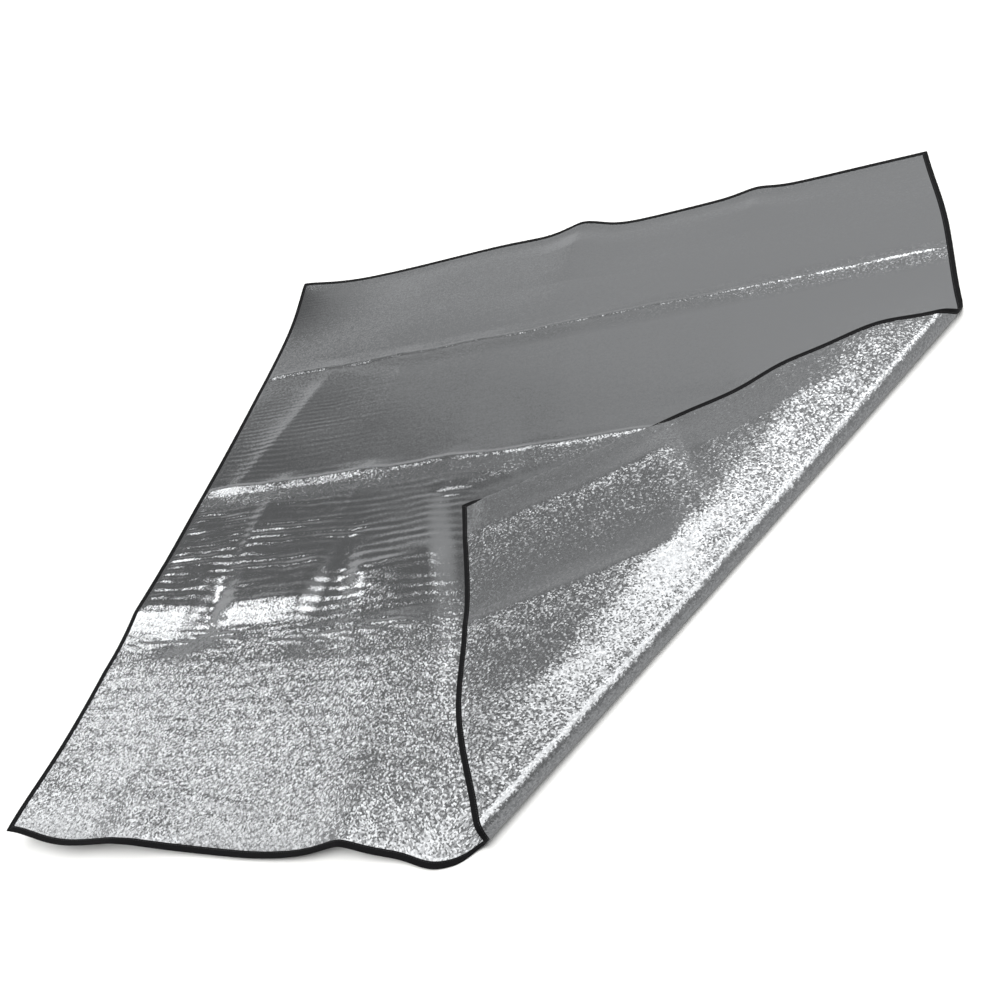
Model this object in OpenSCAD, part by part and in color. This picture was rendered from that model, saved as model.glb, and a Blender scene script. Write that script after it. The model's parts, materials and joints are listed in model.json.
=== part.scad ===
// Foam sleeping pad: a foam core between two metallised films, bound all round with tape,
// lying flat with its near right corner turned over.
// Millimetres, +Z up. The origin is the middle of the pad, on the ground.

/* [Pad] */
// Length of the near and far edges
pad_w = 2000; // [1800:10:2400]
// Length of the left and right edges
pad_d = 2000; // [1800:10:2400]

/* [Layers] */
// Thickness of the foam core
foam_t = 2.5; // [2:0.5:6]
// Thickness of each metallised film
film_t = 0.1; // [0.05:0.05:0.2]

/* [Binding] */
// Width of the binding tape on each face
tape_w = 12; // [8:1:25]
// Thickness of the binding tape
tape_t = 0.6; // [0.3:0.1:0.8]
// Distance from the inner edge of the tape to its row of stitches
stitch_inset = 2.5; // [1.5:0.5:5]
// Width of the sewing thread
thread_w = 0.8; // [0.4:0.1:1.2]
// Height that the thread stands above the tape
thread_h = 0.15; // [0.1:0.05:0.4]
// Distance between the last stitch of a panel and its crease
thread_stop = 3; // [2:0.5:8]

/* [Folds] */
// Depth of the far panel, from its crease to the far edge
far_d = 500; // [300:10:600]
// Length of the near edge that is turned over with the corner
corner_near = 940; // [700:10:1100]
// Length of the right edge that is turned over with the corner
corner_side = 1260; // [700:10:1280]
// Height of the turn between the pad and the turned corner
turn_h = 45; // [20:1:60]
// Air under the tip of the turned corner
tip_gap = 1; // [0.6:0.1:3]
// Width of the crease between two panels that fold against each other
crease_gap = 0.3; // [0.2:0.1:1]

/* [Hidden] */

pad_t = foam_t + 2 * film_t;
half_w = pad_w / 2;
half_d = pad_d / 2;
crease_y = half_d - far_d;

// The fold line runs from fold_start on the near edge to the right edge
fold_start = [half_w - corner_near, -half_d];
fold_angle = atan2(corner_side, corner_near);
fold_line = sqrt(corner_near * corner_near + corner_side * corner_side);
corner_reach = corner_near * corner_side / fold_line;
flap_reach = corner_reach - turn_h;

// The turned corner leans on its tip, so it folds a little past level
turn_fold = 90;
flap_fold = 90 + asin((turn_h - tip_gap) / flap_reach);

// Larger than any distance across the pad
far_away = 2 * (pad_w + pad_d);

// Colours
foam_colour = "white";
film_colour = "silver";
tape_colour = "black";
thread_colour = "dimgray";

// ---- outlines of the open pad, seen from above ----

// The pad's outline, pulled in by a distance on every side
module pad_outline(inset) {
    square([pad_w - 2 * inset, pad_d - 2 * inset], center = true);
}

// A band beside the fold line, from start to end measured towards the corner
module fold_band(start, end) {
    translate(fold_start)
        rotate(fold_angle)
            translate([-far_away / 2, -end])
                square([far_away, end - start]);
}

// Everything on the near or the far side of the crease of the far panel
module crease_side(far, gap) {
    translate([-far_away / 2, far ? crease_y + gap : crease_y - gap - far_away])
        square(far_away);
}

// The ground that one panel covers, less a gap beside each of its creases
module panel_area(panel, gap) {
    if (panel == "main")
        intersection() {
            crease_side(false, gap);
            fold_band(-far_away, -gap);
        }
    if (panel == "far")
        crease_side(true, gap);
    if (panel == "turn")
        fold_band(gap, turn_h - gap);
    if (panel == "corner")
        fold_band(turn_h + gap, far_away);
}

// A band along one edge, between two distances from the edge, mitred at the pad's corners
module edge_band(edge, from, to) {
    turns = edge == "near" ? 0 : edge == "right" ? 1 : edge == "far" ? 2 : 3;
    along = turns % 2 == 0 ? half_w : half_d;
    across = turns % 2 == 0 ? half_d : half_w;
    rotate(90 * turns)
        polygon([
            [from - along, from - across],
            [along - from, from - across],
            [along - to, to - across],
            [to - along, to - across]
        ]);
}

// ---- folding ----

// Turns a flat panel up over the pad about a line on the top face,
// parallel to the fold line and reach away from it
module fold_up(angle, reach) {
    translate([fold_start[0], fold_start[1], pad_t])
        rotate([0, 0, fold_angle])
            translate([0, -reach, 0])
                rotate([-angle, 0, 0])
                    translate([0, reach, 0])
                        rotate([0, 0, -fold_angle])
                            translate([-fold_start[0], -fold_start[1], -pad_t])
                                children();
}

// Puts a panel where it lies in the pad as it is stored
module placed(panel) {
    if (panel == "main" || panel == "far")
        children();
    if (panel == "turn")
        fold_up(turn_fold, 0) children();
    if (panel == "corner")
        fold_up(turn_fold, 0) fold_up(flap_fold, turn_h) children();
}

// ---- layers ----

// A slice of one panel between two heights, from an outline given as a child
module slice(panel, low, high, gap = crease_gap / 2) {
    placed(panel)
        translate([0, 0, low])
            linear_extrude(high - low)
                intersection() {
                    children();
                    panel_area(panel, gap);
                }
}

// Foam core: full thickness inside the tape, squeezed thinner where the tape grips it
module foam(panel) {
    color(foam_colour) {
        slice(panel, film_t, pad_t - film_t) pad_outline(tape_w);
        slice(panel, tape_t, pad_t - tape_t) pad_outline(tape_t);
    }
}

module top_film(panel) {
    color(film_colour)
        slice(panel, pad_t - film_t, pad_t) pad_outline(tape_w);
}

module bottom_film(panel) {
    color(film_colour)
        slice(panel, 0, film_t) pad_outline(tape_w);
}

// Binding tape: two legs that grip the edge, joined round its outside
module tape(edge, panel) {
    color(tape_colour) {
        slice(panel, 0, tape_t) edge_band(edge, 0, tape_w);
        slice(panel, pad_t - tape_t, pad_t) edge_band(edge, 0, tape_w);
        slice(panel, 0, pad_t) edge_band(edge, 0, tape_t);
    }
}

// Row of sewing along the tape
module thread(edge, panel) {
    row = tape_w - stitch_inset;
    color(thread_colour)
        slice(panel, pad_t, pad_t + thread_h, thread_stop)
            edge_band(edge, row - thread_w, row);
}

// ---- sub-parts ----

module main_foam() { foam("main"); }
module main_top_film() { top_film("main"); }
module main_bottom_film() { bottom_film("main"); }
module far_foam() { foam("far"); }
module far_top_film() { top_film("far"); }
module far_bottom_film() { bottom_film("far"); }
module turn_foam() { foam("turn"); }
module turn_top_film() { top_film("turn"); }
module turn_bottom_film() { bottom_film("turn"); }
module corner_foam() { foam("corner"); }
module corner_top_film() { top_film("corner"); }
module corner_bottom_film() { bottom_film("corner"); }

module left_tape_main() { tape("left", "main"); }
module left_tape_far() { tape("left", "far"); }
module far_tape() { tape("far", "far"); }
module right_tape_far() { tape("right", "far"); }
module right_tape_main() { tape("right", "main"); }
module right_tape_turn() { tape("right", "turn"); }
module right_tape_corner() { tape("right", "corner"); }
module near_tape_main() { tape("near", "main"); }
module near_tape_turn() { tape("near", "turn"); }
module near_tape_corner() { tape("near", "corner"); }

module left_thread_main() { thread("left", "main"); }
module left_thread_far() { thread("left", "far"); }
module far_thread() { thread("far", "far"); }
module right_thread_far() { thread("right", "far"); }
module right_thread_main() { thread("right", "main"); }
module right_thread_turn() { thread("right", "turn"); }
module right_thread_corner() { thread("right", "corner"); }
module near_thread_main() { thread("near", "main"); }
module near_thread_turn() { thread("near", "turn"); }
module near_thread_corner() { thread("near", "corner"); }

main_foam();
main_top_film();
main_bottom_film();
far_foam();
far_top_film();
far_bottom_film();
turn_foam();
turn_top_film();
turn_bottom_film();
corner_foam();
corner_top_film();
corner_bottom_film();
left_tape_main();
left_tape_far();
far_tape();
right_tape_far();
right_tape_main();
right_tape_turn();
right_tape_corner();
near_tape_main();
near_tape_turn();
near_tape_corner();
left_thread_main();
left_thread_far();
far_thread();
right_thread_far();
right_thread_main();
right_thread_turn();
right_thread_corner();
near_thread_main();
near_thread_turn();
near_thread_corner();
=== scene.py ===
"""A foil faced foam sleeping pad, laid on the floor with its near right corner turned over.

Every piece is first made as part of an open, flat pad, where x and y are places on the pad and z is
a height in its thickness. laid() then puts each point where it lies: it adds the creases, rolls the
sheet round the turn and lays the corner over on top.
"""
import json
import math

import bmesh
import bpy
import numpy as np
from bpy.props import FloatProperty, FloatVectorProperty
from mathutils import Matrix, Vector


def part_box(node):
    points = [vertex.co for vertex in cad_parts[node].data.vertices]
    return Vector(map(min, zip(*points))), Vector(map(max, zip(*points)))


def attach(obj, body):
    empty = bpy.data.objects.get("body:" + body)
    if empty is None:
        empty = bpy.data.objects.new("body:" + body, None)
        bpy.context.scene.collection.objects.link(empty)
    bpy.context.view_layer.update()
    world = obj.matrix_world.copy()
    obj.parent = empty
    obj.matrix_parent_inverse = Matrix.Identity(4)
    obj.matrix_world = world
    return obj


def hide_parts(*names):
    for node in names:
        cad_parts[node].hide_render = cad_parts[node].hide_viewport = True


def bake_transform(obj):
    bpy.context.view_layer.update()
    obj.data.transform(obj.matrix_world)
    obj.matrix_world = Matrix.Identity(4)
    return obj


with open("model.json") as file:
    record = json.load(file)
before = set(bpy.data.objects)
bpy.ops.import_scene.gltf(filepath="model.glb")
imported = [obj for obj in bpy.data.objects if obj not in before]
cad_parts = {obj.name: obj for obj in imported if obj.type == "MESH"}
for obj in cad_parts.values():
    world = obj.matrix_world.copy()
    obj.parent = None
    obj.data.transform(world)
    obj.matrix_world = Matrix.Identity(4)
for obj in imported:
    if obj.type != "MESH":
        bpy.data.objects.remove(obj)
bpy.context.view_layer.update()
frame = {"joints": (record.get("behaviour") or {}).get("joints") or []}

bl_info = {
    "name": "Foil Faced Foam Pad",
    "version": (1, 0, 0),
    "blender": (4, 5, 0),
    "location": "3D View > Sidebar > Foam Pad",
    "description": "Builds a folding foam sleeping pad with metallised faces and taped edges",
    "category": "Add Mesh",
}

MM = 0.001

# ---- the pad's own measures, from the frame ----

JOINTS = {joint["name"]: joint for joint in frame["joints"]}
FAR_CREASE = JOINTS["far_panel_crease"]
LOW_CREASE = JOINTS["corner_turn_crease"]
HIGH_CREASE = JOINTS["corner_flap_crease"]

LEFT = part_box("left_tape_main")[0].x
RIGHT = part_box("right_tape_far")[1].x
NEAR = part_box("near_tape_main")[0].y
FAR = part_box("far_tape")[1].y
PAD_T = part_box("far_top_film")[1].z
TAPE_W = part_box("far_tape")[1].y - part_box("far_tape")[0].y
TAPE_T = 0.6 * MM
CREASE_Y = FAR_CREASE["pos_m"][1]

# The fold line and the direction from it towards the corner
FOLD_START = Vector(LOW_CREASE["pos_m"][:2])
FOLD_ALONG = Vector(LOW_CREASE["axis"][:2]).normalized()
FOLD_OUT = Vector((FOLD_ALONG.y, -FOLD_ALONG.x))
TURN_H = HIGH_CREASE["pos_m"][2] - LOW_CREASE["pos_m"][2]
FLAP_TILT = math.radians(HIGH_CREASE["range_deg"][1] - 90)
FOLD_LENGTH = (RIGHT - FOLD_START.x) / FOLD_ALONG.x

# The turn is an arc in the middle of the sheet's thickness, tangent to the pad and to the flap
MIDDLE = PAD_T / 2
FLAP_RISE = PAD_T + TURN_H + MIDDLE / math.cos(FLAP_TILT)
TURN_R = (FLAP_RISE + MIDDLE * math.tan(FLAP_TILT) - MIDDLE) / (
    1 + math.tan(FLAP_TILT) + 1 / math.cos(FLAP_TILT)
)
TURN_START = MIDDLE - TURN_R
TURN_SWEEP = math.pi + FLAP_TILT
TURN_END = TURN_H + (TURN_R * math.sin(FLAP_TILT) - TURN_START) / math.cos(FLAP_TILT)
TURN_MIDDLE = TURN_START + (TURN_END - TURN_START) * (math.pi / 2) / TURN_SWEEP

# Half the strip that bends where the far panel folds
CREASE_HALF = 6 * MM
# Radius of a crease's crest
CREST_R = 9 * MM
# A crease fades out past its end, and over this share of that length before it
FADE_INSIDE = 0.2
# Side of the square of random slopes that the noise repeats
NOISE_CELLS = 256
# The flap's waves take up this share of its length
FLAP_TAKE_UP = 0.955


def linear(code):
    """A colour written as sRGB hex, as linear red, green and blue."""
    parts = [int(code[i : i + 2], 16) / 255 for i in (1, 3, 5)]
    return tuple(c / 12.92 if c <= 0.04045 else ((c + 0.055) / 1.055) ** 2.4 for c in parts)


def rgba(colour):
    return (*colour, 1.0)


class PadSizes(bpy.types.PropertyGroup):
    """Sizes of the film's wrinkles, the tape and its sewing."""

    ripple_pitch: FloatProperty(
        name="Ripple pitch",
        description="Distance between the fine ripples of the upper film",
        default=20 * MM,
        unit="LENGTH",
    )
    ripple_height: FloatProperty(
        name="Ripple height",
        description="Height of the strongest ripples above the film's middle",
        default=0.42 * MM,
        unit="LENGTH",
    )
    crumple_height: FloatProperty(
        name="Crumple height",
        description="Height of the film's small dents",
        default=0.3 * MM,
        unit="LENGTH",
    )
    tape_thickness: FloatProperty(
        name="Tape thickness",
        description="Thickness of the binding tape",
        default=TAPE_T,
        unit="LENGTH",
    )
    stitch_pitch: FloatProperty(
        name="Stitch pitch",
        description="Distance from one stitch to the next",
        default=5 * MM,
        unit="LENGTH",
    )
    stitch_length: FloatProperty(
        name="Stitch length",
        description="Length of thread that shows in one stitch",
        default=3.6 * MM,
        unit="LENGTH",
    )
    stitch_width: FloatProperty(
        name="Stitch width",
        description="Thickness of the sewing thread",
        default=0.9 * MM,
        unit="LENGTH",
    )
    stitch_inset: FloatProperty(
        name="Stitch inset",
        description="Distance from the tape's inner edge to its stitches",
        default=2.9 * MM,
        unit="LENGTH",
    )


class PadColours(bpy.types.PropertyGroup):
    """Colours of the pad's materials."""

    film: FloatVectorProperty(
        name="Film", description="Aluminium on clear film", subtype="COLOR", default=linear("#DADCDE")
    )
    tape: FloatVectorProperty(
        name="Tape", description="Black binding tape", subtype="COLOR", default=linear("#08080A")
    )
    thread: FloatVectorProperty(
        name="Thread", description="Sewing thread", subtype="COLOR", default=linear("#1C1C1F")
    )
    foam: FloatVectorProperty(
        name="Foam", description="White foam core", subtype="COLOR", default=linear("#ECECE6")
    )
    floor: FloatVectorProperty(
        name="Floor", description="Pale studio floor", subtype="COLOR", default=linear("#F4F4F2")
    )


# ---- the shape in which the pad lies ----


def smooth(x, low, high):
    """0 below low, 1 above high and a smooth step between them."""
    t = np.clip((x - low) / (high - low), 0, 1)
    return t * t * (3 - 2 * t)


def bump(x, middle, width):
    """1 in the middle, falling away on both sides."""
    return np.exp(-(((x - middle) / width) ** 2))


def rough(u, v, size, seed):
    """Smooth noise from -1 to 1 over the pad, with lumps about as large as size = (along x, along y)."""
    slopes = np.random.default_rng(seed).uniform(0, 2 * math.pi, (NOISE_CELLS, NOISE_CELLS))
    x = u / size[0]
    y = v / size[1]
    column = np.floor(x).astype(int)
    row = np.floor(y).astype(int)
    total = np.zeros_like(x)
    for i in (0, 1):
        for j in (0, 1):
            slope = slopes[(column + i) % NOISE_CELLS, (row + j) % NOISE_CELLS]
            dx = x - column - i
            dy = y - row - j
            weight = (1 - smooth(np.abs(dx), 0, 1)) * (1 - smooth(np.abs(dy), 0, 1))
            total += weight * (np.cos(slope) * dx + np.sin(slope) * dy)
    return 1.5 * total


def ridge(u, v, start, end, height, left, right, fade=0.06):
    """A crease that stands up along a line, sharp at its crest, with a foot on each side.
    left and right are the widths of its two sides; it fades out past its ends. height may be
    a pair, for its start and its end."""
    run = Vector(end) - Vector(start)
    length = run.length
    run.normalize()
    du = u - start[0]
    dv = v - start[1]
    along = du * run.x + dv * run.y
    across = dv * run.x - du * run.y
    side = (np.hypot(across, CREST_R) - CREST_R) / np.where(across > 0, left, right)
    first, last = height if isinstance(height, tuple) else (height, height)
    tall = first + (last - first) * np.clip(along / length, 0, 1)
    inside = fade * FADE_INSIDE
    ends = smooth(along, -fade, inside) * (1 - smooth(along, length - inside, length + fade))
    return tall * np.exp(-side) * ends


# Creases of the part that lies on the floor: start, end, height, width on the left, on the right
FLOOR_CREASES = (
    # waves at the near edge, and the low ridges that they run into
    ((-0.73, -1.0), (-0.75, -0.84), (0.016, 0.0), 0.08, 0.09),
    ((-0.68, -1.0), (-0.76, -0.52), (0.018, 0.015), 0.09, 0.12),
    ((-0.205, -1.0), (-0.21, -0.80), (0.020, 0.0), 0.08, 0.09),
    ((-0.20, -1.0), (-0.23, -0.48), (0.014, 0.009), 0.10, 0.11),
    ((-0.46, -1.0), (-0.48, -0.56), (0.003, 0.002), 0.07, 0.10),
    # swells on both sides of the near crosswise crease, which is a valley
    ((-1.0, -0.39), (-0.83, -0.39), 0.012, 0.14, 0.08),
    ((-0.72, -0.39), (-0.52, -0.38), 0.012, 0.14, 0.08),
    ((-0.38, -0.31), (-0.02, -0.24), (0.012, 0.020), 0.12, 0.16),
    ((-1.0, -0.57), (-0.10, -0.56), 0.003, 0.05, 0.14),
    # hollows between those swells
    ((-0.83, -0.50), (-0.78, -0.36), -0.004, 0.06, 0.06),
    ((-0.48, -0.50), (-0.45, -0.36), -0.004, 0.06, 0.06),
    # lengthwise ridges of the second strip, highest where they meet the middle crease
    ((-0.79, -0.42), (-0.735, 0.02), (0.002, 0.007), 0.05, 0.05),
    ((-0.52, -0.42), (-0.465, 0.02), (0.002, 0.008), 0.05, 0.05),
    ((-0.25, -0.40), (-0.22, 0.02), (0.001, 0.003), 0.05, 0.07),
    # lengthwise ridges of the third strip
    ((-0.89, 0.04), (-0.73, 0.50), (0.005, 0.006), 0.05, 0.12),
    ((-0.50, 0.04), (-0.47, 0.50), (0.003, 0.005), 0.14, 0.09),
    ((-0.22, 0.04), (-0.20, 0.50), (0.002, 0.004), 0.14, 0.10),
    ((0.05, 0.06), (0.05, 0.50), (0.002, 0.003), 0.14, 0.10),
    ((0.50, 0.16), (0.50, 0.50), (0.002, 0.003), 0.14, 0.10),
    # waves at the far edge
    ((0.01, 0.72), (0.02, 1.0), (0.0, 0.012), 0.09, 0.12),
    ((-0.02, 0.50), (0.0, 0.9), (0.002, 0.004), 0.08, 0.12),
    ((0.55, 0.78), (0.56, 1.0), (0.0, 0.007), 0.12, 0.09),
    ((0.50, 0.50), (0.54, 0.9), (0.001, 0.003), 0.12, 0.09),
)

# Corners that curl up off the floor: place, height and reach
CURLED_CORNERS = (
    ((-1.0, -1.0), 0.041, 0.22),
    ((-1.0, 1.0), 0.036, 0.14),
)

# The swell along the left edge: height, and distance over which it falls away
LEFT_SWELL = 0.014
LEFT_SWELL_WIDTH = 0.16
# Low swells everywhere: height, and size of the lumps
FLOOR_SWELL = 0.0012
FLOOR_LUMPS = (0.23, 0.19)
# The part that lies on the floor rises from the turn over this distance
SETTLE_LENGTH = 0.12
# How much of its relief the turned corner's weight takes away
PRESSED = 0.97

# Creases of the turned corner, in the open pad's own places, and how far each stands up as it lies
FLAP_CREASES = (
    # between the tip panel and the rest, a ridge with a valley on the tip's side
    ((0.60, -1.0), (0.61, -0.52), (0.011, 0.0155), 0.16, 0.045),
    # the swell along the tip panel
    ((0.88, -0.98), (0.88, -0.50), (0.010, 0.016), 0.12, 0.07),
    # across the corner, the far end of the tip panel
    ((0.66, -0.44), (0.90, -0.48), (0.010, 0.012), 0.05, 0.08),
    # beside the corner's long edge
    ((0.86, -0.40), (0.90, 0.05), (0.008, 0.006), 0.12, 0.05),
    ((0.40, -0.98), (0.42, -0.72), (0.003, 0.003), 0.08, 0.08),
)
# Low swells of the turned corner: height, and size of the lumps
FLAP_SWELL = 0.002
FLAP_LUMPS = (0.15, 0.15)
# The tip panel's long edge curls under: drop at the edge, and width of the curl
TIP_DROP = 0.016
TIP_CURL = 0.018
# The tip panel's middle rises beside that edge: height, and where it falls away
TIP_RISE = 0.010
TIP_RISE_ENDS = (0.02, 0.16)


def fold_places(u, v):
    """Distance along the fold line, and past it towards the corner."""
    du = u - FOLD_START.x
    dv = v - FOLD_START.y
    return du * FOLD_ALONG.x + dv * FOLD_ALONG.y, du * FOLD_OUT.x + dv * FOLD_OUT.y


def flap_cover(u, v):
    """How far a place on the floor lies inside the turned corner's outline as it lies, in metres.
    It is negative outside."""
    along, out = fold_places(u, v)
    mirror_u = FOLD_START.x + along * FOLD_ALONG.x - out * FOLD_OUT.x
    mirror_v = FOLD_START.y + along * FOLD_ALONG.y - out * FOLD_OUT.y
    return np.minimum(RIGHT - mirror_u, mirror_v - NEAR)


def floor_relief(u, v):
    """Height of the creases in the part that lies on the floor."""
    lift = np.zeros_like(u)
    for crease in FLOOR_CREASES:
        lift += ridge(u, v, *crease)
    for (cu, cv), height, reach in CURLED_CORNERS:
        lift += height * np.exp(-(np.hypot(u - cu, v - cv) / reach) ** 1.5)
    lift += LEFT_SWELL * np.exp(-(u - LEFT) / LEFT_SWELL_WIDTH) * smooth(-v, -0.9, 0.2)
    lift += FLOOR_SWELL * (1 + rough(u, v, FLOOR_LUMPS, 31))
    # Under the turned corner the pad is pressed flat, and beside the turn it settles to the floor
    _, out = fold_places(u, v)
    room = smooth(-out, -TURN_START, -TURN_START + SETTLE_LENGTH)
    pressed = smooth(flap_cover(u, v), -0.05, 0.02)
    return np.maximum(lift, 0) * room * (1 - PRESSED * pressed)


def flap_relief(u, v):
    """Height of the creases in the turned corner, above its plane as it lies."""
    lift = np.zeros_like(u)
    for crease in FLAP_CREASES:
        lift += ridge(u, v, *crease)
    lift += FLAP_SWELL * (1 + rough(u, v, FLAP_LUMPS, 77))
    tip = smooth(-v, 0.44, 0.54) * (1 - smooth(-v, 0.93, 0.98))
    lift += TIP_DROP * tip * (smooth(RIGHT - u, 0, TIP_CURL) - 1)
    lift += TIP_RISE * tip * (1 - smooth(RIGHT - u, *TIP_RISE_ENDS))
    _, out = fold_places(u, v)
    return lift * smooth(out, TURN_END, TURN_END + SETTLE_LENGTH)


# The pressed crosswise creases: place, slope of the side that faces near, and widths of its two sides
PINCHES = (
    (CREASE_Y, 0.26, 8 * MM, 8 * MM),
    (0.035, 0.20, 14 * MM, 10 * MM),
)
# The far crease's visible line lies this far behind its hinge, and farther towards the left
FAR_CREASE_BACK = 0.012
FAR_CREASE_BACK_LEFT = 0.024
# Short crumples along the near crosswise crease: where it is, its half width and their height
NEAR_CREASE_Y = -0.485
NEAR_CREASE_WIDTH = 0.035
CRUMPLE_HEIGHT = 3.0 * MM


def pinch_relief(u, v):
    """The pressed creases' own narrow crests, which come and go along their length."""
    lift = np.zeros_like(u)
    for place, slope, near_width, far_width in PINCHES:
        wander = 0.007 * rough(u, v * 0 + place, (0.16, 1.0), 5) + 0.002 * rough(u, v * 0, (0.03, 1.0), 8)
        strength = np.clip(0.9 + 0.45 * rough(u, v * 0 + place, (0.05, 0.2), 6), 0.4, 1.2)
        wide = 1 + (1 - smooth(u, -0.62, -0.30))
        if place == CREASE_Y:
            wander = wander + FAR_CREASE_BACK + FAR_CREASE_BACK_LEFT * (1 - smooth(u, -1.0, -0.2))
        across = v - place - wander
        width = np.where(across > 0, far_width, near_width * wide)
        tent = np.maximum(1 - np.hypot(across, 1.0 * MM) / width, 0)
        lift += slope * near_width * wide * strength * tent
    near_crease = bump(v, NEAR_CREASE_Y, NEAR_CREASE_WIDTH) * (1 - smooth(u, -0.3, 0.1))
    crumples = np.abs(rough(u + 0.8 * v, v, (0.06, 0.016), 17))
    return lift + CRUMPLE_HEIGHT * near_crease * crumples


# Waves of the pad's outline: middle and width along the edge, and how far they move it along x for
# the right edge and along y for the near and far edges
RIGHT_WAVES = ((0.65, 0.25, 0.013), (0.02, 0.14, 0.052), (-0.35, 0.30, 0.020), (-0.17, 0.10, 0.030))
NEAR_WAVES = (
    (LEFT, 0.09, 0.014),
    (-0.21, 0.06, 0.010),
    (-0.40, 0.14, -0.008),
    (-0.86, 0.08, -0.006),
    (-0.02, 0.05, -0.014),
    (0.38, 0.18, -0.030),
    (0.08, 0.035, 0.026),
)
FAR_WAVES = ((0.03, 0.08, 0.036), (0.55, 0.06, 0.016))
# The sheet also slides along its right edge in one place, reaches out at its near left side and is
# drawn in at its far right side
RIGHT_SLIDE = (0.0, 0.10, 0.022)
LEFT_DRAWN_OUT = 0.036
FAR_RIGHT_DRAWN_IN = 0.042


def waves(x, table):
    """How far a row of waves along an edge moves it."""
    return sum(move * bump(x, middle, width) for middle, width, move in table)


def spread(u, v):
    """Where a place of the pad's square outline really lies in the open pad. The waves draw its edges
    in and out."""
    near_side = 1 - smooth(v, NEAR, NEAR + 0.30)
    far_side = smooth(v, 0.6, FAR)
    left_side = 1 - smooth(u, LEFT, LEFT + 0.6)
    right_side = smooth(u, RIGHT - 0.35, RIGHT)
    shift_x = -LEFT_DRAWN_OUT * left_side * smooth(-v, -0.4, 0.8)
    shift_x += right_side * waves(v, RIGHT_WAVES)
    shift_y = near_side * waves(u, NEAR_WAVES) + far_side * waves(u, FAR_WAVES)
    shift_y += right_side * waves(v, (RIGHT_SLIDE,))
    shift_y -= FAR_RIGHT_DRAWN_IN * smooth(v, 0.5, FAR) * smooth(u, -0.30, 0.20)
    return u + shift_x, v + shift_y


# How full the turn is, as shares of its height: up to its outermost line in its middle, and how much
# more at its two ends
SLACK = 0.62
SLACK_ENDS = 0.40
# Past that line it comes up to its full height over this distance, and this share higher at its ends
RISE_LENGTH = 0.21
CROWN = 0.09


def laid(flat, films=False):
    """Places of the open pad's points as the pad lies. With films, the films' ripples are added."""
    u, v, w = flat.T
    lift = floor_relief(u, v) - flap_relief(u, v)
    if films:
        lift = lift + film_relief(u, v, w)
    along, out = fold_places(*spread(u, v))
    arc = np.clip((out - TURN_START) / (TURN_END - TURN_START), 0, 1) * TURN_SWEEP
    offset = MIDDLE - w
    beyond = np.maximum(out - TURN_END, 0) * FLAP_TAKE_UP
    # The turn is fuller at its two ends than in its middle, and the corner rises behind it
    ends = np.clip(np.abs(2 * along / FOLD_LENGTH - 1), 0, 1) ** 2
    crown = 1 + CROWN * ends * (1 - smooth(beyond, 0.1, 0.5))
    rise = 1 - (1 - np.clip((out - TURN_MIDDLE) / RISE_LENGTH, 0, 1)) ** 2
    full = crown * rise + (SLACK + SLACK_ENDS * ends) * (1 - rise)
    full = 1 + (full - 1) * smooth(arc, 0, 1.2)
    rest_out = (
        np.minimum(out, TURN_START)
        + (TURN_R + offset) * np.sin(arc)
        - beyond * math.cos(FLAP_TILT)
        - np.sin(arc) * lift
    )
    height = MIDDLE + TURN_R - (TURN_R + offset) * np.cos(arc) - beyond * math.sin(FLAP_TILT)
    height = height * full + np.cos(arc) * lift
    x = FOLD_START.x + along * FOLD_ALONG.x + rest_out * FOLD_OUT.x
    y = FOLD_START.y + along * FOLD_ALONG.y + rest_out * FOLD_OUT.y
    return np.column_stack([x, y, height])


def edge_distance(u, v):
    """Distance from the pad's nearest edge."""
    return np.minimum(np.minimum(u - LEFT, RIGHT - u), np.minimum(v - NEAR, FAR - v))


# How strong the upper film's ripples are outside the second strip, where they are strongest
RIPPLES_EVERYWHERE = 0.03
RIPPLES_THIRD_STRIP = 0.45
RIPPLES_FAR_CORNER = 0.5
RIPPLES_NEAR_STRIP = 0.9
# Height of the lower film's wrinkles across the turn, and how far past the turn they reach
GATHER_HEIGHT = 0.45 * MM
GATHER_REACH = 0.22


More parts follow.
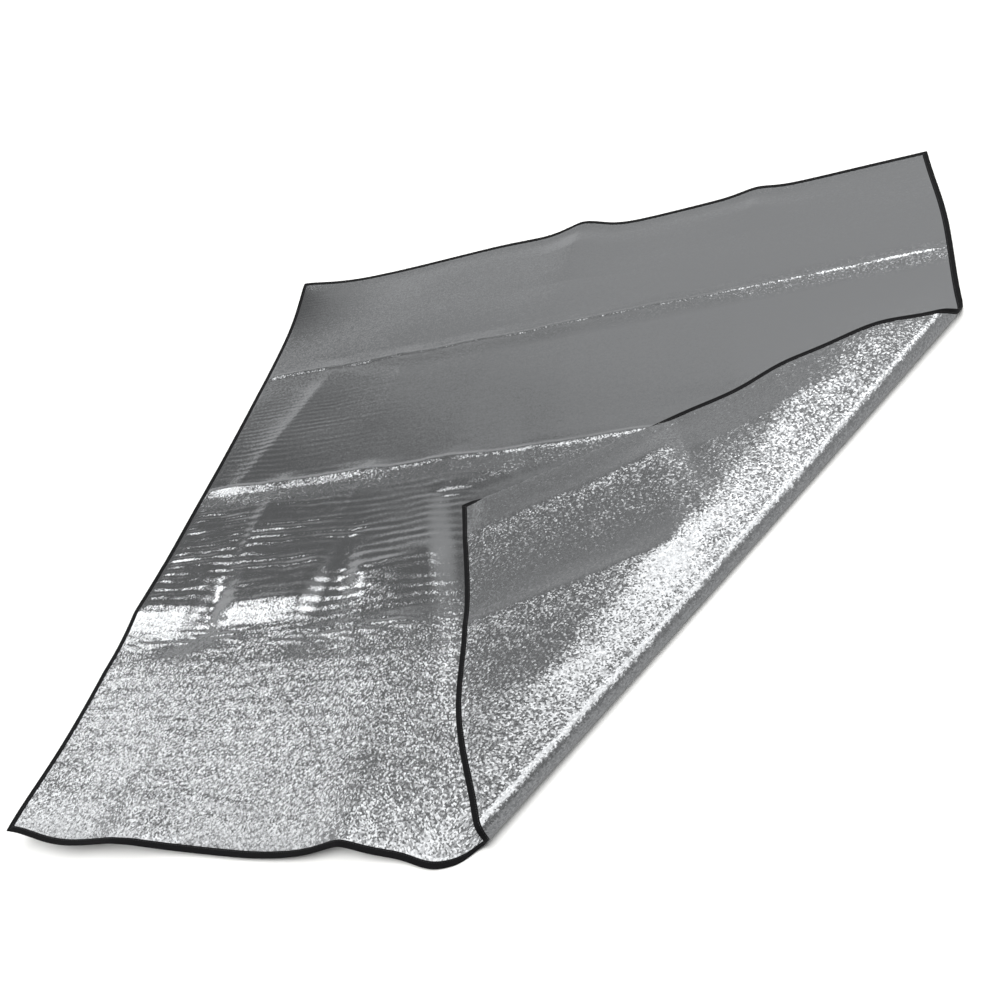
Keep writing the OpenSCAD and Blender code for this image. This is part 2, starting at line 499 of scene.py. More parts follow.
def film_relief(u, v, w):
    """The film's own ripples and dents, across its surface. The upper film has ripples that run
    from side to side, strongest in the second strip, and both films have small dents. The lower
    film is gathered into short wrinkles across the turn."""
    sizes = bpy.context.scene.pad_sizes
    inside = smooth(edge_distance(u, v), TAPE_W, TAPE_W + 20 * MM)
    upper = w > MIDDLE
    second = smooth(v, -0.50, -0.42) * (1 - smooth(v, -0.10, 0.03)) * (1 - smooth(u, -0.25, 0.05))
    third = smooth(v, 0.0, 0.06) * (1 - smooth(v, 0.30, 0.52)) * (1 - smooth(u, -0.9, -0.3))
    corner = smooth(v, 0.78, 0.88) * (1 - smooth(u, -0.97, -0.85))
    near_strip = (1 - smooth(v, -0.58, -0.48)) * (1 - smooth(u, -0.35, -0.05))
    strength = RIPPLES_EVERYWHERE + second + RIPPLES_THIRD_STRIP * third
    strength = strength + RIPPLES_FAR_CORNER * corner + RIPPLES_NEAR_STRIP * near_strip
    broken = np.clip(0.6 + 0.9 * rough(u, v, (0.13, 0.04), 13), 0, 1.3)
    # The ripples are closest together near the middle crease
    turns = (v + 0.5) / (1.6 * sizes.ripple_pitch) + (v + 0.5) ** 2 / (3 * sizes.ripple_pitch)
    wavy = 3.0 * rough(u, v, (0.30, 0.12), 22)
    phase = 2 * math.pi * turns + wavy + 1.3 * rough(u, v, (0.08, 0.05), 44)
    ripple = sizes.ripple_height * strength * broken * np.sin(phase)
    dents = sizes.crumple_height * rough(u, v, (0.035, 0.022), 88)
    fine = sizes.crumple_height * 0.6 * rough(u, v, (0.016, 0.012), 99)
    smoother = 1 - 0.8 * smooth(v, -0.1, 0.2)
    along, out = fold_places(u, v)
    gathered = smooth(out, TURN_MIDDLE * 0.5, TURN_END)
    gathered = gathered * (1 - smooth(out, TURN_END + 0.02, TURN_END + GATHER_REACH))
    gathers = GATHER_HEIGHT * gathered * rough(along, out, (0.011, 0.09), 55)
    above = dents * smoother + ripple + pinch_relief(u, v)
    return inside * np.where(upper, above, dents + fine + gathers)


# ---- making pieces ----


def new_material(name):
    material = bpy.data.materials.new(name)
    material.use_nodes = True
    material.node_tree.nodes.clear()
    return material


def add_node(tree, kind, links=None, **settings):
    """Adds a node. Settings name its properties or its sockets, by name or identifier, and links gives
    the outputs that feed its sockets."""
    node = tree.nodes.new(kind)
    for key, value in settings.items():
        if hasattr(node, key):
            setattr(node, key, value)
            continue
        sockets = [i for i in node.inputs if key in (i.identifier, i.name.replace(" ", "_"))]
        sockets[0].default_value = value
    for socket, source in (links or {}).items():
        tree.links.new(source, node.inputs[socket])
    return node


def set_ramp(node, stops):
    """Gives a colour ramp its stops, as (place, grey value)."""
    ramp = node.color_ramp
    ramp.elements[0].position, ramp.elements[1].position = stops[0][0], stops[-1][0]
    for place, value in stops[1:-1]:
        ramp.elements.new(place)
    for element, (place, value) in zip(ramp.elements, stops):
        element.position = place
        element.color = (value, value, value, 1)


def map_range(tree, value, **limits):
    """The output of a node that maps From_Min to From_Max onto To_Min to To_Max, and holds its ends."""
    return add_node(tree, "ShaderNodeMapRange", {"Value": value}, **limits).outputs[0]


def mix_of(tree, factor, first, second):
    """The output of a node that goes from the first colour to the second as the factor grows."""
    mix = add_node(tree, "ShaderNodeMix", {"Factor": factor}, data_type="RGBA")
    mix.inputs[6].default_value = rgba(first)
    mix.inputs[7].default_value = rgba(second)
    return mix.outputs[2]


# Light and dark bands, counted one by one, in a metre of a wave texture at scale 1
BANDS_PER_METRE = 6.3


def bands(tree, place, width, **settings):
    """The output of a wave texture whose light and dark bands are each about this wide."""
    scale = 1 / width / BANDS_PER_METRE
    return add_node(
        tree, "ShaderNodeTexWave", {"Vector": place}, Scale=scale, **settings
    ).outputs["Fac"]


def bumped(tree, height, strength, depth):
    """The output of a bump node that stands this deep between heights 0 and 1."""
    bump_node = add_node(
        tree, "ShaderNodeBump", {"Height": height}, Strength=strength, Distance=depth
    )
    return bump_node.outputs[0]


# The film's facets: size, and from smooth film to crushed film how far they lean and how rough they are
FACET_SIZE = 3.2 * MM
FACET_LEAN = {"To_Min": 0.06, "To_Max": 0.27}
FACET_ROUGHNESS = {"To_Min": 0.14, "To_Max": 0.26}
# Painted shade: brightness of the darkest crushed facet, as a share of the film's colour
FACET_PAINTED_SHADE = 0.55
# Soft dents of the film
DENT_SIZE = 9 * MM
DENT_DEPTH = 0.2 * MM
# The handled part's far limit is ragged, and it fades over this distance
HANDLED_RAGGED = 0.22
HANDLED_FADE = 0.2
# How crushed the film is along a crosswise crease, and the distances over which that fades away
CREASE_CRUSHED = {"From_Min": 0.02, "From_Max": 0.06, "To_Min": 0.8, "To_Max": 0.0}


def film_material(name, handled_to):
    """Aluminium vapour coated on clear film and laminated to foam. It mirrors its surroundings. Where
    it is handled most, from the near edge as far as handled_to, it is crushed into small facets that
    lean all ways and glitter."""
    colours = bpy.context.scene.pad_colours
    material = new_material(name)
    tree = material.node_tree
    place = add_node(tree, "ShaderNodeUVMap", uv_map="open_pad").outputs[0]
    split = add_node(tree, "ShaderNodeSeparateXYZ", {"Vector": place})
    patches = add_node(tree, "ShaderNodeTexNoise", {"Vector": place}, Scale=5.0, Detail=2.0)
    ragged = add_node(
        tree,
        "ShaderNodeMath",
        {0: patches.outputs[0], 2: split.outputs["Y"]},
        operation="MULTIPLY_ADD",
        Value_001=HANDLED_RAGGED,
    )
    near_part = map_range(
        tree,
        ragged.outputs[0],
        From_Min=handled_to,
        From_Max=handled_to + HANDLED_FADE,
        To_Min=1.0,
        To_Max=0.0,
    )
    # The crosswise creases are 0.5 m apart, and the film is crushed along them too
    crease = add_node(
        tree, "ShaderNodeMath", {0: split.outputs["Y"]}, operation="PINGPONG", Value_001=CREASE_Y / 2
    )
    creased = map_range(tree, crease.outputs[0], **CREASE_CRUSHED)
    crushed = add_node(
        tree, "ShaderNodeMath", {0: near_part, 1: creased}, operation="MAXIMUM"
    ).outputs[0]
    # Facets, each with its own lean
    facets = add_node(
        tree, "ShaderNodeTexVoronoi", {"Vector": place}, voronoi_dimensions="2D", Scale=1 / FACET_SIZE
    ).outputs["Color"]
    lean = add_node(
        tree, "ShaderNodeVectorMath", {0: facets}, operation="SUBTRACT", Vector_001=(0.5, 0.5, 0.5)
    )
    tilt = map_range(tree, crushed, **FACET_LEAN)
    leaning = add_node(
        tree, "ShaderNodeVectorMath", {0: lean.outputs[0], "Scale": tilt}, operation="SCALE"
    )
    # Soft dents between them
    dents = add_node(tree, "ShaderNodeTexNoise", {"Vector": place}, Scale=1 / DENT_SIZE, Detail=2.0)
    surface = bumped(tree, dents.outputs[0], 1.0, DENT_DEPTH)
    facing = add_node(
        tree, "ShaderNodeVectorMath", {0: surface, 1: leaning.outputs[0]}, operation="ADD"
    )
    normal = add_node(tree, "ShaderNodeVectorMath", {0: facing.outputs[0]}, operation="NORMALIZE")
    rough_film = map_range(tree, crushed, **FACET_ROUGHNESS)
    # Painted shade: small folds inside the crushed film take light away, so the crushed facets, near the
    # edge and along the creases, are darkened at random in the film's colour
    shade = add_node(tree, "ShaderNodeMath", {0: facets, 1: crushed}, operation="MULTIPLY")
    film_with_painted_shade = mix_of(tree, shade.outputs[0], colours.film, [c * FACET_PAINTED_SHADE for c in colours.film])
    shader = add_node(
        tree,
        "ShaderNodeBsdfPrincipled",
        {"Base Color": film_with_painted_shade, "Roughness": rough_film, "Normal": normal.outputs[0]},
        Metallic=1.0,
    )
    add_node(tree, "ShaderNodeOutputMaterial", {"Surface": shader.outputs[0]})
    return material


# Width of a closed cell of the foam, of one rib and one yarn of the tape, and of a strand of thread
FOAM_PORE = 1.1 * MM
TAPE_RIB = 2.4 * MM
TAPE_YARN = 1.6 * MM
THREAD_TWIST = 0.5 * MM


def foam_material():
    """Expanded polyethylene foam: white, matt, with small closed cells."""
    colours = bpy.context.scene.pad_colours
    material = new_material("white closed cell foam")
    tree = material.node_tree
    place = add_node(tree, "ShaderNodeTexCoord").outputs["Object"]
    cells = add_node(
        tree, "ShaderNodeTexVoronoi", {"Vector": place}, Scale=1 / FOAM_PORE
    ).outputs["Distance"]
    normal = bumped(tree, cells, 0.6, 0.3 * MM)
    shade = mix_of(tree, cells, [c * 0.85 for c in colours.foam], colours.foam)
    shader = add_node(
        tree, "ShaderNodeBsdfPrincipled", {"Base Color": shade, "Normal": normal}, Roughness=0.8
    )
    add_node(tree, "ShaderNodeOutputMaterial", {"Surface": shader.outputs[0]})
    return material


def tape_material():
    """Polyester binding tape, woven with a fine rib across its width: black with a soft sheen."""
    colours = bpy.context.scene.pad_colours
    material = new_material("black woven binding tape")
    tree = material.node_tree
    place = add_node(tree, "ShaderNodeUVMap", uv_map="tape").outputs[0]
    ribs = bands(tree, place, TAPE_RIB, Distortion=0.6, bands_direction="X")
    yarns = bands(tree, place, TAPE_YARN, Distortion=0.4, bands_direction="Y")
    weave = add_node(
        tree, "ShaderNodeMath", {0: ribs, 1: yarns}, operation="MULTIPLY"
    ).outputs[0]
    fuzz = add_node(tree, "ShaderNodeTexNoise", {"Vector": place}, Scale=1 / (3 * MM), Detail=4.0)
    shade = mix_of(tree, weave, [c * 0.5 for c in colours.tape], [c * 1.8 for c in colours.tape])
    worn = map_range(tree, fuzz.outputs[0], To_Min=0.62, To_Max=0.88)
    normal = bumped(tree, weave, 0.8, 0.25 * MM)
    shader = add_node(
        tree,
        "ShaderNodeBsdfPrincipled",
        {"Base Color": shade, "Roughness": worn, "Normal": normal},
        Specular_IOR_Level=0.25,
        Sheen_Weight=0.03,
    )
    add_node(tree, "ShaderNodeOutputMaterial", {"Surface": shader.outputs[0]})
    return material


def thread_material():
    """Spun polyester thread: near black, with a twist that catches the light."""
    colours = bpy.context.scene.pad_colours
    material = new_material("spun sewing thread")
    tree = material.node_tree
    place = add_node(tree, "ShaderNodeTexCoord").outputs["Object"]
    turned = add_node(tree, "ShaderNodeMapping", {"Vector": place}, Rotation=(0, 0, math.radians(35)))
    twist = bands(tree, turned.outputs[0], THREAD_TWIST)
    shade = mix_of(tree, twist, [c * 0.6 for c in colours.thread], [c * 1.6 for c in colours.thread])
    normal = bumped(tree, twist, 0.7, 0.1 * MM)
    shader = add_node(
        tree,
        "ShaderNodeBsdfPrincipled",
        {"Base Color": shade, "Normal": normal},
        Roughness=0.55,
        Sheen_Weight=0.2,
    )
    add_node(tree, "ShaderNodeOutputMaterial", {"Surface": shader.outputs[0]})
    return material


def add_object(name, data):
    """Puts a mesh, a light or a camera into the scene."""
    thing = bpy.data.objects.new(name, data)
    bpy.context.scene.collection.objects.link(thing)
    return thing


def flat_grid(low, high, cell):
    """A grid over a rectangle of the open pad, with cells about as large as cell = (along x, along y)."""
    grid = bmesh.new()
    spans = [max(1, round((high[i] - low[i]) / cell[i])) for i in (0, 1)]
    bmesh.ops.create_grid(grid, x_segments=spans[0], y_segments=spans[1], size=0.5)
    bmesh.ops.scale(grid, vec=(high[0] - low[0], high[1] - low[1], 1), verts=grid.verts)
    bmesh.ops.translate(grid, vec=((low[0] + high[0]) / 2, (low[1] + high[1]) / 2, 0), verts=grid.verts)
    return grid


def cut_away(mesh, point, outward):
    """Cuts the flat mesh along an upright plane and drops what lies beyond it."""
    geometry = mesh.verts[:] + mesh.edges[:] + mesh.faces[:]
    bmesh.ops.bisect_plane(
        mesh,
        geom=geometry,
        plane_co=(point[0], point[1], 0),
        plane_no=(outward[0], outward[1], 0),
        clear_outer=True,
        dist=1e-7,
    )


def on_fold(distance):
    """A point that lies this far past the fold line."""
    return FOLD_START + FOLD_OUT * distance


def cut_to_zone(mesh, zone):
    """Leaves only the zone's share of a flat mesh. Zones meet on the same lines."""
    if zone == "far":
        cut_away(mesh, (0, CREASE_Y - CREASE_HALF), (0, -1))
        return
    cut_away(mesh, (0, CREASE_Y - CREASE_HALF), (0, 1))
    if zone == "main":
        cut_away(mesh, on_fold(TURN_START), FOLD_OUT)
    if zone == "turn":
        cut_away(mesh, on_fold(TURN_START), -FOLD_OUT)
        cut_away(mesh, on_fold(TURN_MIDDLE), FOLD_OUT)
    if zone == "corner":
        cut_away(mesh, on_fold(TURN_MIDDLE), -FOLD_OUT)


ZONE_BODIES = {
    "main": "main_panel",
    "far": "far_panel",
    "turn": "corner_turn",
    "corner": "corner_flap",
}


def hang_on(piece, zone):
    """Ties a piece of the main zone to the main panel's body; a piece of another zone only has its
    transform baked into its mesh.
    """
    if zone == "main":
        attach(piece, "main_panel")
    if zone == "far":
        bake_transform(piece)
    if zone == "turn":
        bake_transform(piece)
    if zone == "corner":
        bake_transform(piece)


# How far the upper and the lower film are pressed in under the tape
TOP_SQUEEZE = 0.5 * MM
BOTTOM_SQUEEZE = 0.6 * MM


def finish_piece(mesh, name, material, film=None):
    """Turns a flat bmesh into a piece that lies as the pad lies. film is top or bottom for a film,
    whose height is set here: it is squeezed thin under the tape."""
    data = bpy.data.meshes.new(name)
    mesh.to_mesh(data)
    mesh.free()
    flat = np.zeros(len(data.vertices) * 3)
    data.vertices.foreach_get("co", flat)
    flat = flat.reshape(-1, 3)
    if film:
        squeezed = 1 - smooth(edge_distance(flat[:, 0], flat[:, 1]), TAPE_W * 0.7, TAPE_W * 1.8)
        flat[:, 2] = PAD_T - TOP_SQUEEZE * squeezed if film == "top" else BOTTOM_SQUEEZE * squeezed
    places = laid(flat, films=film is not None)
    data.vertices.foreach_set("co", places.ravel())
    corners = np.zeros(len(data.loops), dtype=np.int32)
    data.loops.foreach_get("vertex_index", corners)
    open_pad = data.uv_layers.new(name="open_pad")
    open_pad.data.foreach_set("uv", flat[corners, :2].ravel())
    data.shade_smooth()
    data.materials.append(material)
    data.update()
    return add_object(name, data)


def flat_area(mesh):
    return sum(face.calc_area() for face in mesh.faces)


# Size of the films' cells in each zone, finest where ripples show, and of the foam's
UPPER_CELLS = {
    "main": (9 * MM, 3.5 * MM),
    "far": (9 * MM, 3.5 * MM),
    "turn": (6 * MM, 4 * MM),
    "corner": (6 * MM, 5 * MM),
}
LOWER_CELLS = {
    "main": (14 * MM, 12 * MM),
    "far": (7 * MM, 6 * MM),
    "turn": (4 * MM, 4 * MM),
    "corner": (4 * MM, 4 * MM),
}
FOAM_CELL = 11 * MM
# The drawn foam: height of one face, and its depth. It leaves room for the films' ripples, and for
# their pressed edges
FOAM_FACE = PAD_T * 0.34
FOAM_DEPTH = PAD_T * 0.30


def zone_rectangle(zone, inset):
    """Lowest and highest corner of a rectangle that holds a zone of the open pad."""
    low = Vector((LEFT + inset, NEAR + inset))
    high = Vector((RIGHT - inset, FAR - inset))
    if zone == "far":
        low.y = CREASE_Y - CREASE_HALF
    else:
        high.y = CREASE_Y - CREASE_HALF
    if zone in ("turn", "corner"):
        low.x = FOLD_START.x + FOLD_OUT.x * TURN_START
        high.y = FOLD_START.y + FOLD_ALONG.y * FOLD_LENGTH + 0.05
    return low, high


def build_film(zone, side, material):
    """One zone of the upper or the lower film."""
    cells = UPPER_CELLS if side == "top" else LOWER_CELLS
    low, high = zone_rectangle(zone, TAPE_W * 0.4)
    mesh = flat_grid(low, high, cells[zone])
    cut_to_zone(mesh, zone)
    area = flat_area(mesh)
    if side == "bottom":
        bmesh.ops.reverse_faces(mesh, faces=mesh.faces)
    piece = finish_piece(mesh, f"{side}_film_{zone}", material, film=side)
    hang_on(piece, zone)
    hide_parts(f"{zone}_{side}_film")
    return piece


def build_foam(zone, material):
    """One zone of the foam core, which the films and the tape cover."""
    low, high = zone_rectangle(zone, TAPE_T * 2)
    mesh = flat_grid(low, high, (FOAM_CELL, FOAM_CELL))
    cut_to_zone(mesh, zone)
    bmesh.ops.translate(mesh, vec=(0, 0, FOAM_FACE), verts=mesh.verts)
    bmesh.ops.solidify(mesh, geom=mesh.faces[:], thickness=-FOAM_DEPTH)
    bmesh.ops.recalc_face_normals(mesh, faces=mesh.faces)
    piece = finish_piece(mesh, f"foam_{zone}", material)
    hang_on(piece, zone)
    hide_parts(f"{zone}_foam")
    return piece


# ---- edges ----

# Each edge: its two ends, the direction out of the pad, and the zones that it crosses
EDGES = {
    "left": ((LEFT, FAR), (LEFT, NEAR), (-1, 0), ("main", "far")),
    "far": ((RIGHT, FAR), (LEFT, FAR), (0, 1), ("far",)),
    "right": ((RIGHT, NEAR), (RIGHT, FAR), (1, 0), ("far", "main", "turn", "corner")),
    "near": ((LEFT, NEAR), (RIGHT, NEAR), (0, -1), ("main", "turn", "corner")),
}


def node_of(edge, kind, zone):
    """The CAD node's name for a piece of an edge."""
    return f"far_{kind}" if edge == "far" else f"{edge}_{kind}_{zone}"


def along_edge(edge, along, inset, height):
    """A point of the open pad beside an edge."""
    start, end, outward, _ = EDGES[edge]
    run = (Vector(end) - Vector(start)).normalized()
    place = Vector(start) + run * along - Vector(outward) * inset
    return Vector((place.x, place.y, height))


def edge_length(edge):
    start, end, _, _ = EDGES[edge]
    return (Vector(end) - Vector(start)).length


# Length of the tape's bend round the edge, how far it stands over the film, and its swell
TAPE_BEND = math.pi / 2 * PAD_T
TAPE_STAND = 0.35 * MM
TAPE_SWELL = 0.25 * MM
# The drawn ribbon has this share of the tape's thickness, which leaves room for the film
TAPE_SOLID = 0.6


def tape_profile(across):
    """Where the tape's outer face runs round the pad's edge: (distance in from the edge, height),
    for a place across the tape's width."""
    top = PAD_T + TAPE_STAND
    if across < TAPE_W:
        swell = TAPE_SWELL * math.sin(math.pi * across / TAPE_W)
        return TAPE_W - across, top + swell
    if across < TAPE_W + TAPE_BEND:
        turn = (across - TAPE_W) / TAPE_BEND * math.pi
        return -PAD_T / 2 * math.sin(turn), top / 2 + top / 2 * math.cos(turn)
    return across - TAPE_W - TAPE_BEND, 0.0


def looks_inward(mesh):
    """Whether the faces of a tape look into the pad."""
    outward = 0
    for face in mesh.faces:
        side = face.calc_center_median().z - PAD_T / 2
        outward += face.normal.z * face.calc_area() * side
    return outward < 0


def build_tape(edge, zone, material):
    """One zone of the binding tape along an edge, wrapped round it."""
    length = edge_length(edge)
    width = 2 * TAPE_W + TAPE_BEND
    mesh = flat_grid((0, 0), (length, width), (6 * MM, width / 24))
    uv_layer = mesh.loops.layers.uv.new("tape")
    for face in mesh.faces:
        for loop in face.loops:
            loop[uv_layer].uv = loop.vert.co.xy
    for vert in mesh.verts:
        inset, height = tape_profile(vert.co.y)
        # The two ends are cut at 45 degrees, so that the tapes of two edges meet
        reach = max(inset, 0)
        share = vert.co.x / length
        along = reach + share * (length - 2 * reach)
        vert.co = along_edge(edge, along, inset, height)
    cut_to_zone(mesh, zone)
    bmesh.ops.recalc_face_normals(mesh, faces=mesh.faces)
    if looks_inward(mesh):
        bmesh.ops.reverse_faces(mesh, faces=mesh.faces)
    piece = finish_piece(mesh, f"tape_{edge}_{zone}", material)
    solid = piece.modifiers.new("thickness", "SOLIDIFY")
    solid.thickness = bpy.context.scene.pad_sizes.tape_thickness * TAPE_SOLID
    solid.offset = -1
    hang_on(piece, zone)
    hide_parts(node_of(edge, "tape", zone))
    return piece


def stitch_mesh(length, width):
    """One stitch: a short length of thread that dips into the tape at both ends."""
    stitch = bmesh.new()
    bmesh.ops.create_cone(
        stitch, segments=6, radius1=width / 2, radius2=width / 2, depth=length, cap_ends=True
    )
    lengthwise = Matrix.Rotation(math.pi / 2, 3, "Y")
    bmesh.ops.rotate(stitch, cent=(0, 0, 0), matrix=lengthwise, verts=stitch.verts)
    ends = [edge for edge in stitch.edges if abs(edge.calc_length() - length) < 1e-6]
    bmesh.ops.subdivide_edges(stitch, edges=ends, cuts=3)
    for vert in stitch.verts:
        bow = 1 - (2 * vert.co.x / length) ** 2
        vert.co.z = vert.co.z * (0.45 + 0.55 * bow) + width * 0.35 * (bow - 0.6)
        vert.co.y *= 0.55 + 0.45 * bow
    data = bpy.data.meshes.new("stitch")
    stitch.to_mesh(data)
    stitch.free()
    return data


def zone_of(place):
    """The zone that a place of the open pad belongs to."""
    if place.y > CREASE_Y - CREASE_HALF:
        return "far"
    out = (place.xy - FOLD_START).dot(FOLD_OUT)
    return "main" if out < TURN_START else "turn" if out < TURN_MIDDLE else "corner"


# Height of the thread's middle above the pad's two faces: over the tape's upper leg, in its lower leg
THREAD_ABOVE = 0.48 * MM
THREAD_BELOW = 0.12 * MM


def build_stitches(edge, zone, stitch, material):
    """One zone of the sewing along an edge, above and below."""
    sizes = bpy.context.scene.pad_sizes
    inset = TAPE_W - sizes.stitch_inset
    count = int((edge_length(edge) - 2 * inset) / sizes.stitch_pitch)
    run = (Vector(EDGES[edge][1]) - Vector(EDGES[edge][0])).normalized()
    turned = Matrix.Rotation(math.atan2(run.y, run.x), 4, "Z")
    row = bmesh.new()
    for i in range(count + 1):
        place = along_edge(edge, inset + i * sizes.stitch_pitch, inset, 0)
        if zone_of(place) != zone:
            continue
        for height, flip in ((PAD_T + THREAD_ABOVE, 0), (THREAD_BELOW, math.pi)):
            spot = Matrix.Translation((place.x, place.y, height)) @ turned @ Matrix.Rotation(flip, 4, "X")
            copy = stitch.copy()
            copy.transform(spot)
            row.from_mesh(copy)
            bpy.data.meshes.remove(copy)
    piece = finish_piece(row, f"thread_{edge}_{zone}", material)
    hang_on(piece, zone)
    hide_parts(node_of(edge, "thread", zone))
    return piece


# ---- operators ----


class PAD_OT_foam(bpy.types.Operator):
    """Adds the foam core"""

    bl_idname = "pad.foam"
    bl_label = "Foam core"

    def execute(self, context):
        material = foam_material()
        for zone in ZONE_BODIES:
            build_foam(zone, material)
        return {"FINISHED"}


class PAD_OT_films(bpy.types.Operator):
    """Adds the metallised films on both faces"""

    bl_idname = "pad.films"
    bl_label = "Metallised films"

    def execute(self, context):
        upper = film_material("aluminised film, rippled", -0.44)
        lower = film_material("aluminised film, crumpled", 1.5)
        for zone in ZONE_BODIES:
            build_film(zone, "top", upper)
            build_film(zone, "bottom", lower)
        return {"FINISHED"}


class PAD_OT_tapes(bpy.types.Operator):
    """Adds the binding tape round the edges"""

    bl_idname = "pad.tapes"
    bl_label = "Binding tape"

    def execute(self, context):
        material = tape_material()
        for edge, (_, _, _, zones) in EDGES.items():
            for zone in zones:
                build_tape(edge, zone, material)
        return {"FINISHED"}


class PAD_OT_stitches(bpy.types.Operator):
    """Adds the sewing along the tape"""

    bl_idname = "pad.stitches"
    bl_label = "Stitches"

    def execute(self, context):
        sizes = context.scene.pad_sizes
        material = thread_material()
        stitch = stitch_mesh(sizes.stitch_length, sizes.stitch_width)
        for edge, (_, _, _, zones) in EDGES.items():
            for zone in zones:
                build_stitches(edge, zone, stitch, material)
        return {"FINISHED"}


class PAD_OT_stage(bpy.types.Operator):
    """Adds the floor, the studio light and the camera"""

    bl_idname = "pad.stage"
    bl_label = "Studio"

    def execute(self, context):
        build_floor()
        build_light()
        build_camera()
        return {"FINISHED"}


# How far the floor reaches each way, and how far it lies below the pad's lower face
FLOOR_REACH = 60
FLOOR_DROP = 0.5 * MM


def build_floor():
    """A pale matt floor that reaches past the edge of every view."""
    colours = bpy.context.scene.pad_colours
    mesh = bmesh.new()
    bmesh.ops.create_grid(mesh, x_segments=4, y_segments=4, size=FLOOR_REACH)
    bmesh.ops.translate(mesh, vec=(0, 0, -FLOOR_DROP), verts=mesh.verts)
    data = bpy.data.meshes.new("floor")
    mesh.to_mesh(data)
    mesh.free()
    material = new_material("pale matt floor")
    tree = material.node_tree
    shader = add_node(
        tree,
        "ShaderNodeBsdfPrincipled",
        Base_Color=rgba(colours.floor),
        Roughness=0.9,
        Specular_IOR_Level=0.1,
    )
    add_node(tree, "ShaderNodeOutputMaterial", {"Surface": shader.outputs[0]})
    data.materials.append(material)
    floor = add_object("floor", data)
    # The metallised film would mirror the floor as white; in a studio it mirrors grey screens
    floor.visible_glossy = False


# The studio's grey screens: how bright they are by a direction's share along SCREEN_AXIS
SCREEN_AXIS = Vector((0.587, 0.725, -0.362))
SCREEN_STOPS = ((-1.0, 0.12), (-0.12, 0.12), (0.0, 0.20), (0.06, 0.26), (0.23, 0.32), (1.0, 0.33))
# Low down the screens are even, up to these sines of the height above the horizon
EVEN_BELOW = {"From_Min": 0.40, "From_Max": 0.50}
EVEN_GREY = 0.42
# The soft light overhead, by the same sine
OVERHEAD_FROM = {"From_Min": 0.82, "From_Max": 0.93}
OVERHEAD_BRIGHTNESS = 1.75
# Soft boxes that hang at both sides and face down: place, size and brightness
SOFT_BOXES = (
    ((-5.8, 1.35, 4.5), (3.8, 2.7), 1.8),
    ((2.4, 2.8, 4.5), (3.6, 3.0), 1.4),
)
# Soft light from above that the film doesn't mirror, and how widely it is spread
FILL_BRIGHTNESS = 2.4
FILL_SPREAD = math.radians(70)


def build_light():
    """A studio of grey screens with soft light overhead, two soft boxes and a soft fill."""
    world = bpy.data.worlds.new("soft studio")
    bpy.context.scene.world = world
    world.use_nodes = True
    tree = world.node_tree
    tree.nodes.clear()
    facing = add_node(tree, "ShaderNodeTexCoord").outputs["Generated"]
    split = add_node(tree, "ShaderNodeSeparateXYZ", {"Vector": facing})
    share = add_node(
        tree, "ShaderNodeVectorMath", {0: facing}, operation="DOT_PRODUCT", Vector_001=SCREEN_AXIS
    )
    place = map_range(tree, share.outputs["Value"], From_Min=-1.0, From_Max=1.0)
    screens = add_node(tree, "ShaderNodeValToRGB", {"Fac": place})
    set_ramp(screens, [((along + 1) / 2, value) for along, value in SCREEN_STOPS])
    high = map_range(tree, split.outputs["Z"], **EVEN_BELOW)
    walls = add_node(
        tree, "ShaderNodeMix", {"Factor": high, 7: screens.outputs[0]}, data_type="RGBA"
    )
    walls.inputs[6].default_value = rgba([EVEN_GREY] * 3)
    overhead = map_range(tree, split.outputs["Z"], **OVERHEAD_FROM)
    room = add_node(
        tree, "ShaderNodeMix", {"Factor": overhead, 6: walls.outputs[2]}, data_type="RGBA"
    )
    room.inputs[7].default_value = rgba([OVERHEAD_BRIGHTNESS] * 3)
    sky = add_node(tree, "ShaderNodeBackground", {"Color": room.outputs[2]}, Strength=1.0)
    add_node(tree, "ShaderNodeOutputWorld", {"Surface": sky.outputs[0]})
    for hung_at, size, brightness in SOFT_BOXES:
        box = bpy.data.lights.new("soft box", "AREA")
        box.shape = "RECTANGLE"
        box.size, box.size_y = size
        box.energy = brightness * math.pi * box.size * box.size_y
        add_object("soft box", box).location = hung_at
    fill = bpy.data.lights.new("fill", "SUN")
    fill.energy = FILL_BRIGHTNESS
    fill.angle = FILL_SPREAD
    add_object("fill", fill).visible_glossy = False


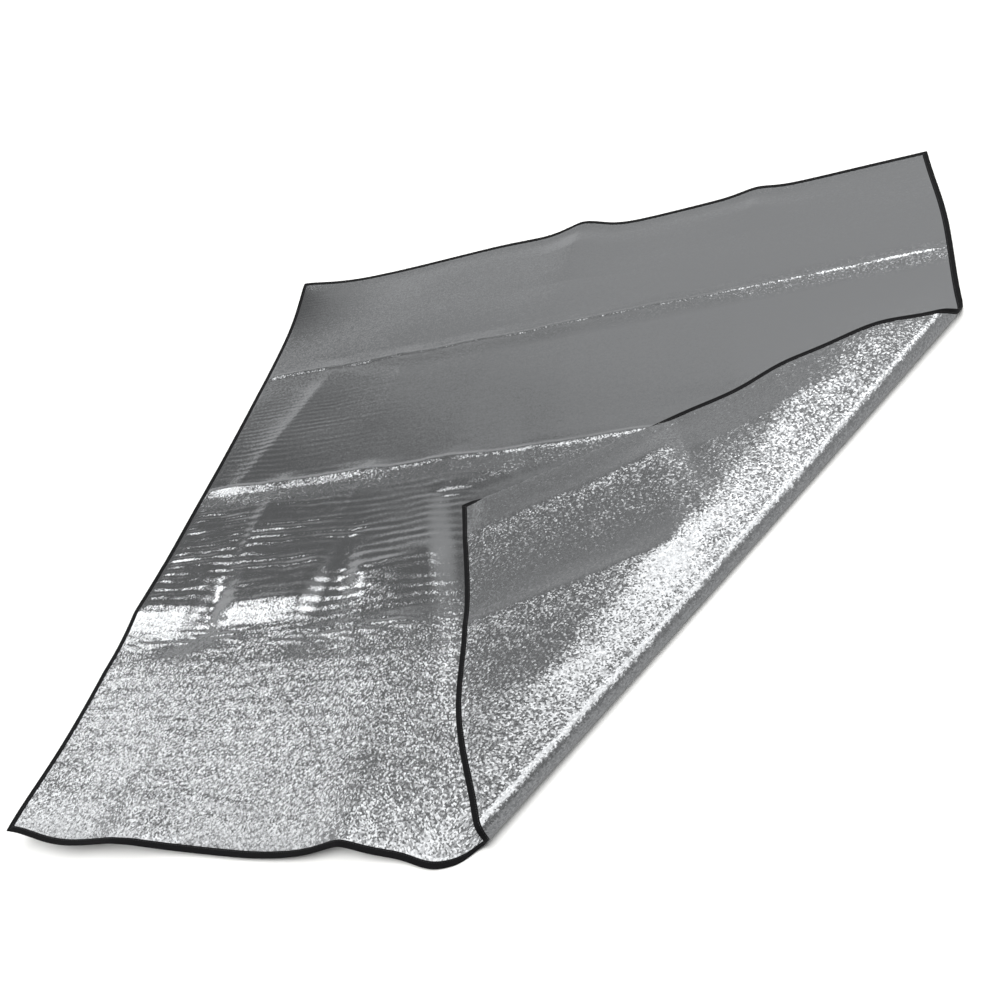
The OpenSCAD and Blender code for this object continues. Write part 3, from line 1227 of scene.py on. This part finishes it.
# The camera stands at chest height beyond the near right corner and is rolled over to one side
CAMERA_PLACE = Vector((0.807, -1.573, 1.494))
CAMERA_AIM = Vector((-0.052, -0.134, 0.0))
CAMERA_ROLL = math.radians(-29.0)
# Lens and picture width in millimetres, and the farthest that the camera sees in metres
CAMERA_LENS = 33.8
CAMERA_SENSOR = 36
CAMERA_REACH = 200


def build_camera():
    """The camera, aimed at the pad's near part."""
    data = bpy.data.cameras.new("camera")
    data.sensor_width = CAMERA_SENSOR
    data.lens = CAMERA_LENS
    data.clip_end = CAMERA_REACH
    camera = add_object("camera", data)
    look = (CAMERA_AIM - CAMERA_PLACE).to_track_quat("-Z", "Y").to_matrix().to_4x4()
    camera.matrix_world = Matrix.Translation(CAMERA_PLACE) @ look @ Matrix.Rotation(CAMERA_ROLL, 4, "Z")
    bpy.context.scene.camera = camera
    bpy.context.scene.view_settings.view_transform = "Standard"


class PAD_PT_panel(bpy.types.Panel):
    """Lists the pad's pieces"""

    bl_label = "Foam Pad"
    bl_idname = "PAD_PT_panel"
    bl_space_type = "VIEW_3D"
    bl_region_type = "UI"
    bl_category = "Foam Pad"

    def draw(self, context):
        for operator in OPERATORS:
            self.layout.operator(operator.bl_idname)
        for group in (context.scene.pad_sizes, context.scene.pad_colours):
            for name in group.__annotations__:
                self.layout.prop(group, name)


OPERATORS = (PAD_OT_stage, PAD_OT_foam, PAD_OT_films, PAD_OT_tapes, PAD_OT_stitches)
CLASSES = (PadSizes, PadColours, *OPERATORS, PAD_PT_panel)


def register():
    for cls in CLASSES:
        bpy.utils.register_class(cls)
    bpy.types.Scene.pad_sizes = bpy.props.PointerProperty(type=PadSizes)
    bpy.types.Scene.pad_colours = bpy.props.PointerProperty(type=PadColours)


def unregister():
    del bpy.types.Scene.pad_colours
    del bpy.types.Scene.pad_sizes
    for cls in reversed(CLASSES):
        bpy.utils.unregister_class(cls)


def main():
    register()
    for operator in OPERATORS:
        group, name = operator.bl_idname.split(".")
        getattr(getattr(bpy.ops, group), name)()


if __name__ == "__main__":
    main()
